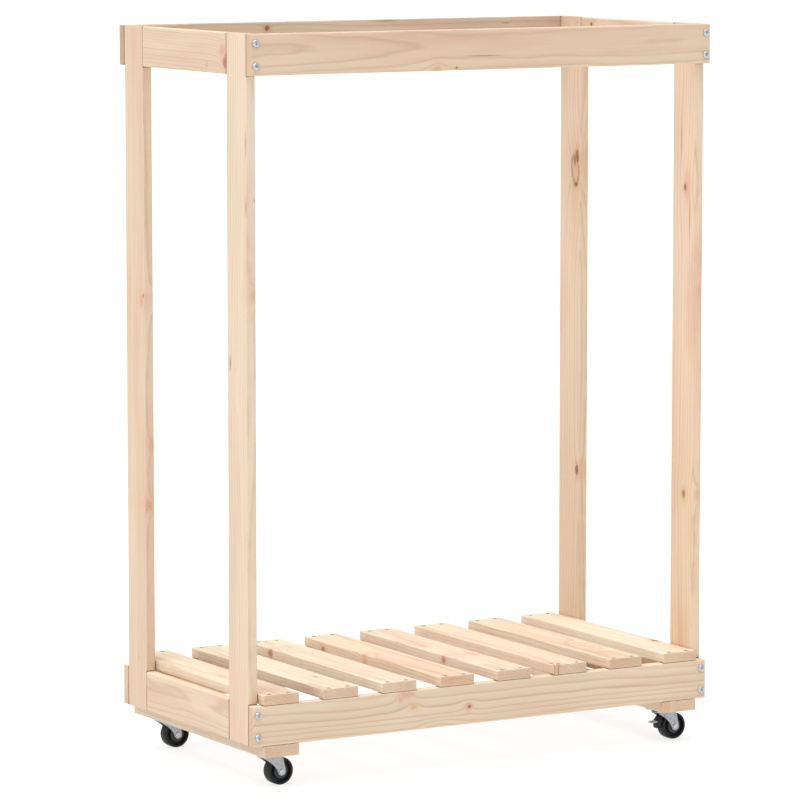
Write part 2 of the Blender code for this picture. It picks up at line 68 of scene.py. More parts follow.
class Formula:
    """Adds nodes to a material and links them; each call returns the new node's output."""

    def __init__(self, name):
        self.material = bpy.data.materials.new(name)
        self.material.use_nodes = True
        self.tree = self.material.node_tree
        self.shader = self.tree.nodes["Principled BSDF"]

    def put(self, socket, value):
        if isinstance(value, bpy.types.NodeSocket):
            self.tree.links.new(value, socket)
        else:
            socket.default_value = value

    def node(self, kind, settings=(), inputs=()):
        node = self.tree.nodes.new("ShaderNode" + kind)
        for key, value in dict(settings).items():
            setattr(node, key, value)
        for key, value in dict(inputs).items():
            self.put(node.inputs[key], value)
        return node

    def coordinates(self, output="Object"):
        return self.node("TexCoord").outputs[output]

    def math(self, operation, first, second=0.0):
        return self.node("Math", {"operation": operation}, {0: first, 1: second}).outputs[0]

    def add(self, first, second):
        return self.math("ADD", first, second)

    def times(self, first, second):
        return self.math("MULTIPLY", first, second)

    def vector(self, operation, *values):
        node = self.node("VectorMath", {"operation": operation}, enumerate(values))
        return node.outputs["Value" if operation == "LENGTH" else "Vector"]

    def noise(self, point, scales, seed=0.0, detail=2.0, roughness=0.5, output="Fac"):
        """Noise that is about one unit long at a scale of 1 per metre along each axis."""
        place = self.vector("MULTIPLY_ADD", point, scales, (3.1 * seed, 7.7 * seed, 1.3 * seed))
        inputs = {"Vector": place, "Scale": 1.0, "Detail": detail, "Roughness": roughness}
        return self.node("TexNoise", inputs=inputs).outputs[output]

    def wander(self, point, scales, seed, reach, detail=1.0):
        """A smooth random offset, up to about the reach along each axis."""
        colour = self.noise(point, scales, seed, detail, output="Color")
        return self.vector("MULTIPLY", self.vector("SUBTRACT", colour, (0.5, 0.5, 0.5)), reach)

    def ramp(self, value, stops):
        """stops are (place, grey or colour)."""
        node = self.node("ValToRGB", inputs={"Fac": value})
        elements = node.color_ramp.elements
        while len(elements) < len(stops):
            elements.new(1.0)
        for element, (place, colour) in zip(elements, stops):
            element.position = place
            element.color = colour if isinstance(colour, tuple) else (colour, colour, colour, 1)
        return node.outputs["Color"]

    def between(self, value, low, high):
        """From 0 where the value is low to 1 where it is high, smoothly."""
        inputs = {"Value": value, "From Min": low, "From Max": high}
        return self.node("MapRange", {"interpolation_type": "SMOOTHSTEP"}, inputs).outputs["Result"]

    def mix(self, share, first, second, blend="MIX"):
        settings = {"data_type": "RGBA", "blend_type": blend}
        return self.node("Mix", settings, {"Factor": share, 6: first, 7: second}).outputs[2]

    def bump(self, height, distance, strength):
        inputs = {"Height": height, "Distance": distance, "Strength": strength}
        self.put(self.shader.inputs["Normal"], self.node("Bump", inputs=inputs).outputs["Normal"])

    def finish(self, **inputs):
        """Sets the shader's inputs; an underscore stands for a space in a name."""
        for name, value in inputs.items():
            self.put(self.shader.inputs[name.replace("_", " ")], value)
        return self.material


# ---- Pine ----

EARLY_WOOD = srgb(221, 199, 174)
LATE_WOOD = srgb(198, 166, 136)
PINK_WOOD = srgb(219, 183, 160)
CREAM_WOOD = srgb(228, 210, 185)
STREAK_WOOD = srgb(170, 112, 82)
END_GRAIN = srgb(222, 190, 160)
# Painted shade: the dark colour laid into the joints between boards, where shadow falls.
JOINT_SHADE_COLOUR = srgb(112, 78, 56)

# A knot's colours from its middle outwards (heart, body, rim, and the stained wood around it), how
# strongly they cover the wood, and how soft the knot's outline is.
KNOT_KINDS = {
    "dark": ((84, 50, 34), (142, 92, 62), (84, 52, 38), (206, 152, 114), 0.85, 0.35),
    "tan": ((190, 138, 100), (210, 164, 126), (196, 146, 110), (224, 184, 150), 0.60, 0.50),
    "red": ((132, 72, 54), (182, 120, 94), (148, 92, 70), (220, 170, 144), 0.85, 0.40),
    "blush": ((204, 148, 124), (212, 162, 138), (204, 150, 126), (222, 182, 160), 0.60, 0.80),
    "hollow": ((212, 180, 154), (206, 170, 144), (124, 84, 66), (210, 174, 146), 0.85, 0.25),
}
KNOT_SWELL = 1.6  # how far the rings are pushed out round a knot, in knot radii
HALF_WIDTH = 0.029  # of the boards: where a knot in an edge comes out
LOW, HIGH = -1, 1  # the two edges of a board
FADE_INWARDS = 0.25  # how fast such a knot shrinks on its way into the board


def from_mark(wood, point, x, y, reach_x, reach_y):
    """Distance from a place on the face, as a share of the reach along and across the grain."""
    offset = wood.vector("SUBTRACT", point, (x, y, 0))
    scaled = wood.vector("MULTIPLY", offset, (1 / reach_x, 1 / reach_y, 0))
    return wood.vector("LENGTH", scaled)


def ring_distance(wood, point, look):
    """How far a point is from the pith, with the slow drift and small waves of a real stem."""
    seed = look["seed"]
    drift = wood.wander(point, (1.7, 3, 3), seed, (0, look["drift"], 0.030))
    wave = wood.wander(point, (9, 32, 32), seed + 3, (0, 0.0050, 0.0050), 2)
    moved = wood.vector("ADD", wood.vector("ADD", point, drift), wave)
    across = wood.vector("MULTIPLY_ADD", moved, (0, 1, 1), (0, -look["pith"][0], -look["pith"][1]))
    distance = wood.vector("LENGTH", across)
    for *place_and_reach, rise in look["swirls"]:
        hill = wood.between(from_mark(wood, point, *place_and_reach), 1.0, 0.0)
        distance = wood.add(distance, wood.times(hill, rise))
    return distance


def knot_distance(wood, point, knot, seed):
    """Distance from a knot's axis, as a share of its radius."""
    x, side, radius, stretch, *edge = knot[1:]
    if edge:
        centre, scales = (x, edge[0] * HALF_WIDTH, side), (1 / stretch, FADE_INWARDS, 1)
    else:
        centre, scales = (x, side, 0), (1 / stretch, 1, 0)
    rough = 0.55 / radius
    ragged = wood.wander(point, (rough / stretch, rough, rough), seed + 11, (0.9 * radius,) * 3, 2)
    offset = wood.vector("SUBTRACT", wood.vector("ADD", point, ragged), centre)
    length = wood.vector("LENGTH", wood.vector("MULTIPLY", offset, scales))
    return wood.times(length, 1 / radius)


def growth_rings(wood, point, look, knots):
    """From 0 in a ring's early wood to about 1 in its late wood; the rings bend round the knots."""
    distance = ring_distance(wood, point, look)
    for knot, place in zip(look["knots"], knots):
        share = wood.times(place, 0.6)
        fall = wood.add(1.0, wood.times(share, share))
        distance = wood.add(distance, wood.math("DIVIDE", KNOT_SWELL * knot[3], fall))
    uneven = wood.noise(point, (0.6, 60, 60), look["seed"] + 5, 1)
    phase = wood.add(wood.times(distance, 1 / look["ring"]), wood.times(uneven, 0.9))
    stops = [(0, 0.0), (0.30, 0.04), (0.64, 0.28), (0.86, 1.0), (0.94, 0.50), (1, 0.0)]
    late = wood.ramp(wood.math("FRACT", phase), stops)
    number = {"W": wood.math("FLOOR", phase)}
    strength = wood.node("TexWhiteNoise", {"noise_dimensions": "1D"}, number).outputs["Value"]
    return wood.times(late, wood.add(wood.times(strength, 0.50), look["contrast"]))


def wood_colour(wood, point, late, fibre, look):
    """Cream and pink early wood, darker late wood, and the fine fibres over both."""
    seed = look["seed"]
    patches = wood.noise(point, (2.4, 15, 15), seed + 7, 3, 0.55)
    early = wood.mix(wood.between(patches, 0.35, 0.70), EARLY_WOOD, CREAM_WOOD)
    blush = wood.noise(point, (3.1, 26, 26), seed + 9, 3, 0.6)
    early = wood.mix(wood.times(wood.between(blush, 0.46, 0.70), look["pink"]), early, PINK_WOOD)
    colour = wood.mix(late, early, LATE_WOOD)
    streak = wood.noise(point, (3, 170, 170), seed + 15, 2)
    shade = wood.add(wood.times(fibre, 0.10), wood.times(streak, 0.12))
    shade = wood.ramp(wood.add(shade, 0.39), [(0.40, 0.90), (0.60, 1.06)])
    colour = wood.mix(1.0, colour, shade, "MULTIPLY")
    dash = wood.between(wood.noise(point, (55, 1300, 1300), seed + 17, 1), 0.70, 0.78)
    return wood.mix(wood.times(dash, 0.25), colour, LATE_WOOD)


def with_knots(wood, point, colour, look, knots):
    """The colour with its knots, and where they are."""
    covered = 0.0
    for (kind, _, _, radius, *_), place in zip(look["knots"], knots):
        *colours, cover, softness = KNOT_KINDS[kind]
        heart, body, rim, stain = (srgb(*one) for one in colours)
        colour = wood.mix(wood.times(wood.between(place, 3.4, 0.8), 0.6 * cover), colour, stain)
        grain = wood.noise(point, (0.5 / radius,) * 3, look["seed"] + 19, 2)
        tone = wood.add(place, wood.times(wood.add(grain, -0.5), 0.8))
        inner = wood.ramp(tone, [(0.0, heart), (0.32, body), (0.70, body), (0.93, rim)])
        mask = wood.between(tone, 1 + softness, 1 - softness)
        colour = wood.mix(wood.times(mask, cover), colour, inner)
        covered = wood.math("MAXIMUM", covered, mask)
    return colour, covered


def with_streaks(wood, point, colour, look):
    for streak in look["streaks"]:
        mark = wood.between(from_mark(wood, point, *streak), 1.0, 0.15)
        colour = wood.mix(wood.times(mark, 0.75), colour, STREAK_WOOD)
    return colour


def with_wear_and_joint_shade(wood, point, colour, look):
    """The colour with the board's tint, pale worn edges, and painted shade in the joints where it meets
    other boards.
    """
    edge = wood.node("Attribute", {"attribute_name": "edge"}).outputs["Fac"]
    patches = wood.noise(point, (40, 40, 40), look["seed"] + 21, 3)
    worn = wood.times(edge, wood.between(patches, 0.35, 0.65))
    colour = wood.mix(wood.times(worn, 0.30), colour, CREAM_WOOD)
    colour = wood.mix(1.0, colour, look["tint"], "MULTIPLY")
    # Painted shade: the edges in a joint are darkened, as if lying in the joint's shadow.
    joint_shade = wood.node("Attribute", {"attribute_name": "joint_shade"}).outputs["Fac"]
    return wood.mix(wood.times(joint_shade, 0.80), colour, JOINT_SHADE_COLOUR)


def wood_height(wood, point, late, fibre, knotty, is_end, seed):
    """Late wood lies lower, fibres and knots stand up, and the ends have saw marks."""
    sawn = wood.noise(point, (900, 350, 900), seed + 23, 2)
    height = wood.add(wood.times(late, -0.35), wood.times(fibre, 0.30))
    sawn_end = wood.times(wood.times(sawn, is_end), 1.6)
    return wood.add(height, wood.add(wood.times(knotty, 0.5), sawn_end))


def pine(name, look):
    """Pine with growth rings about its pith, so that its faces, edges and ends belong together."""
    wood = Formula("pine_" + name)
    seed = look["seed"]
    point = wood.coordinates()
    knots = [knot_distance(wood, point, knot, seed) for knot in look["knots"]]
    along = wood.node("SeparateXYZ", inputs={0: wood.coordinates("Normal")}).outputs[0]
    is_end = wood.between(wood.math("ABSOLUTE", along), 0.6, 0.9)
    late = wood.times(growth_rings(wood, point, look, knots), wood.add(1.0, wood.times(is_end, -0.4)))
    fibre = wood.noise(point, (14, 900, 900), seed + 13, 3, 0.6)
    colour = wood_colour(wood, point, late, fibre, look)
    end_colour = wood.mix(1.0, colour, END_GRAIN, "MULTIPLY")
    colour = wood.mix(wood.times(is_end, 0.4), colour, end_colour)
    colour, knotty = with_knots(wood, point, colour, look, knots)
    colour = with_streaks(wood, point, colour, look)
    colour = with_wear_and_joint_shade(wood, point, colour, look)
    wood.bump(wood_height(wood, point, late, fibre, knotty, is_end, seed), 0.00010, 0.55)
    rough = wood.add(0.56, wood.times(fibre, 0.10))
    rough = wood.add(rough, wood.add(wood.times(is_end, 0.14), wood.times(late, -0.06)))
    return wood.finish(Base_Color=colour, Roughness=rough, Specular_IOR_Level=0.32)


# ---- Metal and plastic ----

STEEL = srgb(204, 207, 212)
DULL_STEEL = srgb(96, 104, 118)


def zinc(name, base=STEEL, roughness=0.30, seed=1.0):
    """Zinc plating: a soft, slightly patchy sheen with fine rubbed scratches."""
    metal = Formula(name)
    point = metal.coordinates()
    cloud = metal.noise(point, (260, 260, 260), seed, 4, 0.6)
    scratch = metal.between(metal.noise(point, (300, 2600, 1400), seed + 2, 2, 0.6), 0.60, 0.72)
    dull = tuple(0.80 * channel for channel in base[:3]) + (1.0,)
    colour = metal.mix(metal.between(cloud, 0.40, 0.66), base, dull)
    colour = metal.mix(metal.times(scratch, 0.35), colour, srgb(226, 228, 232))
    rough = metal.add(roughness, metal.times(metal.add(cloud, -0.5), 0.30))
    metal.bump(metal.add(metal.times(cloud, 0.5), metal.times(scratch, 0.3)), 0.00004, 0.5)
    rough = metal.add(rough, metal.times(scratch, -0.08))
    return metal.finish(Base_Color=colour, Roughness=rough, Metallic=0.86)


def black_plastic(name, base, roughness, seed, hub=None):
    """Moulded plastic: a fine grain with a little dust in it. A wheel's hub has its own colour."""
    resin = Formula(name)
    point = resin.coordinates()
    grain = resin.noise(point, (2600, 2600, 2600), seed, 2)
    cloud = resin.noise(point, (150, 150, 150), seed + 4, 3, 0.6)
    colour = resin.mix(resin.times(resin.between(cloud, 0.42, 0.72), 0.35), base, srgb(50, 50, 50))
    if hub:
        from_axle = resin.vector("SUBTRACT", point, (AXLE[0], 0, AXLE[1]))
        distance = resin.vector("LENGTH", resin.vector("MULTIPLY", from_axle, (1, 0, 1)))
        colour = resin.mix(resin.between(distance, HUB_RADIUS + GAP, HUB_RADIUS - GAP), colour, hub)
    rough = resin.add(roughness, resin.times(cloud, 0.16))
    resin.bump(resin.add(resin.times(grain, 0.6), resin.times(cloud, 0.4)), 0.00005, 0.5)
    return resin.finish(Base_Color=colour, Roughness=rough, Specular_IOR_Level=0.30)


# ---- Shapes ----

def new_object(name, data, matrix=None):
    obj = bpy.data.objects.new(name, data)
    bpy.context.scene.collection.objects.link(obj)
    if matrix is not None:
        obj.matrix_world = matrix
    return obj


def finished(mesh, smooth_angle=35):
    mesh.shade_smooth()
    mesh.set_sharp_from_angle(angle=radians(smooth_angle))
    return mesh


def mesh_from(name, bm, smooth_angle=35):
    bmesh.ops.recalc_face_normals(bm, faces=bm.faces)
    mesh = bpy.data.meshes.new(name)
    bm.to_mesh(mesh)
    bm.free()
    return finished(mesh, smooth_angle)


def baked(obj):
    """The object's mesh with its modifiers applied; the object is removed."""
    graph = bpy.context.evaluated_depsgraph_get()
    mesh = bpy.data.meshes.new_from_object(obj.evaluated_get(graph))
    bpy.data.objects.remove(obj, do_unlink=True)
    return mesh


def combined(mesh, tool, operation="DIFFERENCE", smooth_angle=35):
    """One mesh cut by, or joined to, another."""
    base, cutter = new_object("base", mesh), new_object("cutter", tool)
    modifier = base.modifiers.new("boolean", "BOOLEAN")
    modifier.operation = operation
    modifier.solver = "EXACT"
    modifier.object = cutter
    result = baked(base)
    bpy.data.objects.remove(cutter, do_unlink=True)
    return finished(result, smooth_angle)


def gathered(name, mesh, matrices, smooth_angle=35):
    """Copies of a mesh at several places, as one mesh."""
    bm = bmesh.new()
    for matrix in matrices:
        first = len(bm.verts)
        bm.from_mesh(mesh)
        bm.verts.ensure_lookup_table()
        bmesh.ops.transform(bm, matrix=matrix, verts=bm.verts[first:])
    return mesh_from(name, bm, smooth_angle)


def arc(centre, radius, start, end, steps):
    """Points on an arc; the angles are counted from the first axis towards the second."""
    angles = [start + (end - start) * step / steps for step in range(steps + 1)]
    return [(centre[0] + radius * cos(a), centre[1] + radius * sin(a)) for a in angles]


def circle(centre, radius, steps):
    return arc(centre, radius, 0, 2 * pi, steps)[:-1]


def loft(bm, rings):
    """Rings of points skinned one to the next, and closed at both ends."""
    rings = [[bm.verts.new(point) for point in ring] for ring in rings]
    for first, second in zip(rings, rings[1:]):
        for index in range(len(first)):
            after = (index + 1) % len(first)
            bm.faces.new((first[index], first[after], second[after], second[index]))
    bm.faces.new(rings[0][::-1])
    bm.faces.new(rings[-1])
    return rings


def turned(name, profile, steps, closed=False, smooth_angle=35):
    """A profile of (radius, height) points turned about Z."""
    bm = bmesh.new()
    points = [bm.verts.new((radius, 0, height)) for radius, height in profile]
    edges = [bm.edges.new(pair) for pair in zip(points, points[1:])]
    if closed:
        edges.append(bm.edges.new((points[-1], points[0])))
    bmesh.ops.spin(bm, geom=points + edges, cent=(0, 0, 0), axis=(0, 0, 1), angle=2 * pi,
                   steps=steps)
    bmesh.ops.remove_doubles(bm, verts=bm.verts, dist=1e-6)
    return mesh_from(name, bm, smooth_angle)


def sheet_metal(name, outlines, thickness, edge=0.0003):
    """A flat blank in the XY plane, its further outlines cut out as holes, with rounded edges."""
    curve = bpy.data.curves.new(name, "CURVE")
    curve.dimensions = "2D"
    curve.fill_mode = "BOTH"
    curve.extrude = thickness / 2 - edge
    curve.bevel_depth = edge
    curve.bevel_resolution = 1
    curve.offset = -edge
    for outline in outlines:
        spline = curve.splines.new("POLY")
        spline.points.add(len(outline) - 1)
        for point, (x, y) in zip(spline.points, outline):
            point.co = (x, y, 0, 1)
        spline.use_cyclic_u = True
    mesh = baked(new_object(name, curve))
    bm = bmesh.new()
    bm.from_mesh(mesh)
    bmesh.ops.remove_doubles(bm, verts=bm.verts, dist=1e-6)
    return mesh_from(name, bm, 40)


def shown(name, mesh, material, body, node, matrix=None):
    """A finished piece in its place, standing for a CAD node if one is named."""
    if not mesh.materials:
        mesh.materials.append(material)
    obj = new_object(name, mesh, matrix)
    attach(obj, body)
    if node:
        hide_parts(node)


def show_steel(node, mesh, material, body, place):
    """The piece that stands for a steel node."""
    shown(node + "_steel", mesh, material, body, node, place)


# ---- Places and holes of the fasteners ----

Screw = namedtuple("Screw", "head height shank length pitch")  # head and shank are radii
RAIL_SCREW = Screw(0.0053, 0.0027, 0.0020, 0.0420, 0.0018)
SLAT_SCREW = Screw(0.0034, 0.0020, 0.0016, 0.0340, 0.0016)
PLATE_SCREW = Screw(0.0037, 0.0022, 0.0018, 0.0150, 0.0016)
SLAT_SCREW_SPACING = 0.0308
PLATE_SCREW_SPACING = 0.0320
SLAT_SCREW_DEPTH = 0.0003  # how far the heads in the slats lie below the wood
DOWEL_RADIUS = 0.0030
DOWEL_LENGTH = 0.0280
DOWEL_SPACING = 0.0280
HOLE_STEPS = 20
LYING = ("slat", "caster_board")
WOODEN = ("post", "rail_bottom", "rail_top", "side_rail") + LYING


def named(*starts):
    return sorted(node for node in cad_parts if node.startswith(starts))


def middle(node):
    low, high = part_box(node)
    return (low + high) / 2


FACE_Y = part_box("rail_bottom_back")[1].y
PLATE_LOW, PLATE_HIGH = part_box("caster_plate_front_left")


def grid(centre, spacing_x, spacing_y):
    return [(centre[0] + side_x * spacing_x / 2, centre[1] + side_y * spacing_y / 2)
            for side_x in (-1, 1) for side_y in (-1, 1)]


def facing(place, direction, turn=0.0):
    """A matrix that puts Z along a direction, turned about it."""
    aim = Vector(direction).to_track_quat("Z", "Y").to_matrix().to_4x4()
    return Matrix.Translation(place) @ aim @ Matrix.Rotation(turn, 4, "Z")


def rail_screw_seat(node):
    """Where a rail screw's head meets its rail, and the way that it looks along Y."""
    x, y, z = middle(node)
    face = 1 if y > 0 else -1
    return (x, face * (FACE_Y + GAP), z), face


def plate_screw_places(centre):
    return grid(centre, PLATE_SCREW_SPACING, PLATE_SCREW_SPACING)


def board_screw_places(node):
    """(x, y) of the four screws through a slat or a caster board into the two bottom rails."""
    return grid(middle(node), SLAT_SCREW_SPACING, 2 * middle("rail_bottom_back").y)


def screwed_side(node):
    """The height of the face that a lying board is screwed through, and 1 if it looks up."""
    low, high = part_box(node)
    return (high.z, 1) if node.startswith("slat") else (low.z, -1)


def dowel_places():
    """The middle of each dowel between a side rail and a post, by the side rail's name."""
    places = {}
    for node in named("side_rail"):
        centre, reach = middle(node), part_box(node)[1].y + GAP
        places[node] = [Vector((centre.x, face * reach, centre.z + side * DOWEL_SPACING / 2))
                        for face in FACES.values() for side in (-1, 1)]
    return places


def hole(mouth, direction, profile):
    """A drilled hole: its profile is (radius, depth) from the mouth on."""
    return Vector(mouth), Vector(direction), profile


def straight(radius, depth):
    return [(radius + GAP, 0), (radius + GAP, depth + 2 * GAP)]


def countersunk(screw):
    neck = screw.shank + GAP
    return [(screw.head + 2 * GAP, 0), (neck, screw.height + 2 * GAP),
            (neck, screw.length + 3 * GAP)]


def all_holes():
    holes = []
    for node in named("rail_screw"):
        mouth, face = rail_screw_seat(node)
        holes.append(hole(mouth, (0, -face, 0), straight(RAIL_SCREW.shank, RAIL_SCREW.length)))
    for places in dowel_places().values():
        for x, y, z in places:
            start = (x, y - DOWEL_LENGTH / 2 - GAP, z)
            holes.append(hole(start, (0, 1, 0), straight(DOWEL_RADIUS, DOWEL_LENGTH)))
    for node in named(*LYING):
        seat, up = screwed_side(node)
        holes += [hole((x, y, seat + up * GAP), (0, 0, -up), countersunk(SLAT_SCREW))
                  for x, y in board_screw_places(node)]
    for node in named("caster_plate"):
        depth = PLATE_SCREW.length - (PLATE_HIGH.z - PLATE_LOW.z)
        holes += [hole((x, y, PLATE_HIGH.z), (0, 0, 1), straight(PLATE_SCREW.shank, depth))
                  for x, y in plate_screw_places(middle(node))]
    return holes


def overlap(one, other):
    return all(one[0][axis] < other[1][axis] and one[1][axis] > other[0][axis] for axis in range(3))


def meets(one_hole, box):
    """Whether a hole comes near a box."""
    mouth, direction, profile = one_hole
    widest, end = profile[0][0], mouth + direction * profile[-1][1]
    low = [min(pair) - widest for pair in zip(mouth, end)]
    high = [max(pair) + widest for pair in zip(mouth, end)]
    return overlap((low, high), box)


def drills(holes, matrix):
    """The cutters for some holes, moved by a matrix."""
    bm = bmesh.new()
    for mouth, direction, profile in holes:
        turn = matrix @ facing(mouth, direction)
        loft(bm, [[turn @ Vector((*point, depth)) for point in circle((0, 0), radius, HOLE_STEPS)]
                  for radius, depth in profile])
    return mesh_from("drills", bm)


# ---- Boards ----

ARRIS = 0.0004  # the small bevel that a saw and sandpaper leave round a board's ends
STATION = 0.020  # distance between a board's sections along its length
JOINT_SHADE_REACH = 0.0013  # how far round a neighbour's box the painted shadow in a joint reaches
LYING_JOINT_SHADE_REACH = 0.0006
ARC_STEPS = 4
SLAT_RADIUS = 0.0015  # rounding along the edges
STOCK_RADIUS = 0.0020
UNEVEN = 0.35  # how much that rounding varies, as a share
BOARD_SMOOTH_ANGLE = 32


def board_axes(node):
    """The board's own frame: its matrix in the rack, and its length, width and thickness."""
    low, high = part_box(node)
    size, centre = high - low, (low + high) / 2
    order = sorted(range(3), key=lambda axis: -size[axis])
    along, thick = Vector(), Vector()
    along[order[0]] = 1
    thick[order[2]] = -1 if order[2] != 2 and centre[order[2]] < 0 else 1
    if node.startswith("caster_board"):
        thick.negate()
    across = thick.cross(along)
    matrix = Matrix((along, across, thick)).transposed().to_4x4()
    matrix.translation = centre
    return matrix, [size[axis] for axis in order]


def section(width, thickness, radii, inset):
    """A rounded rectangle, counter-clockwise from the lower left; returns (y, z, on an edge)."""
    points = []
    half_w, half_t = width / 2 - inset, thickness / 2 - inset
    corners = ((-1, -1, pi), (1, -1, 1.5 * pi), (1, 1, 0), (-1, 1, 0.5 * pi))
    for (side_y, side_z, start), radius in zip(corners, radii):
        radius = max(radius - inset, 0.0002)
        centre = (side_y * (half_w - radius), side_z * (half_t - radius))
        points += [(y, z, 1.0) for y, z in arc(centre, radius, start, start + pi / 2, ARC_STEPS)]
        if side_y == side_z:
            continue
        points += [(-side_z * half_w * share, side_z * half_t, 0.0) for share in (-0.9, 0.0, 0.9)]
    return sorted(points, key=lambda point: atan2(point[1] * width / thickness, point[0]))


def inside(place, box):
    return all(box[0][axis] < place[axis] < box[1][axis] for axis in range(3))


def neighbours(node):
    """The boxes of the other boards that touch this one, grown by how far the painted joint shade
    reaches.
    """
    boxes = []
    for other in named(*WOODEN):
        lying = node.startswith(LYING) or other.startswith(LYING)
        grow = Vector((LYING_JOINT_SHADE_REACH if lying else JOINT_SHADE_REACH,) * 3)
        low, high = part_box(other)
        box = (low - grow, high + grow)
        if other != node and overlap(box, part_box(node)):
            boxes.append(box)
    return boxes


def stations(node, matrix, length):
    """Where along a board its sections are: evenly spaced, and by its neighbours' ends."""
    count = max(6, round(length / STATION))
    places = {-length / 2 + length * step / count for step in range(1, count)}
    axis = max(range(3), key=lambda one: abs(matrix[one][0]))
    for box in neighbours(node):
        for corner in box:
            x = (corner[axis] - matrix.translation[axis]) * matrix[axis][0]
            places |= {x - GAP, x + GAP}
    inner = length / 2 - ARRIS
    return sorted([-inner, inner] + [x for x in places if abs(x) < inner - ARRIS])


def edge_radii(radius, x, seed):
    """The rounding of the four long edges at a place along a board, uneven from sanding."""
    return [radius * (1 + UNEVEN * noise.noise(Vector((x * 12, corner * 7.1, seed))))
            for corner in range(4)]


def board_mesh(node, matrix, size, radius, seed):
    """A planed board. Its ends have a bevel, and a second ring where the painted shade of a joint stops.
    """
    length, width, thickness = size
    ends = [(length / 2, ARRIS), (length / 2, 2 * JOINT_SHADE_REACH)]
    places = [(-x, inset) for x, inset in reversed(ends)]
    places += [(x, 0.0) for x in stations(node, matrix, length)] + ends
    rings, on_edge = [], []
    for x, inset in places:
        outline = section(width, thickness, edge_radii(radius, x, seed), inset)
        rings.append([(x, y, z) for y, z, is_edge in outline])
        on_edge += [float(inset == ARRIS) if inset else is_edge for y, z, is_edge in outline]
    bm = bmesh.new()
    edge_layer = bm.verts.layers.float.new("edge")
    joint_shade_layer = bm.verts.layers.float.new("joint_shade")
    verts = [vert for ring in loft(bm, rings) for vert in ring]
    boxes = neighbours(node)
    for vert, value in zip(verts, on_edge):
        vert[edge_layer] = value
        place = matrix @ vert.co
        # Painted shade: edge points inside a neighbour's box are marked to be darkened as a joint's
        # shadow.
        vert[joint_shade_layer] = float(value > 0 and any(inside(place, box) for box in boxes))
    return mesh_from(node, bm, BOARD_SMOOTH_ANGLE)


def varied(number, which):
    """A steady made-up number, mostly from -1 to 1."""
    return 2 * noise.noise(Vector((number * 5.31 + which * 17.7, 3.1, 0.4)))


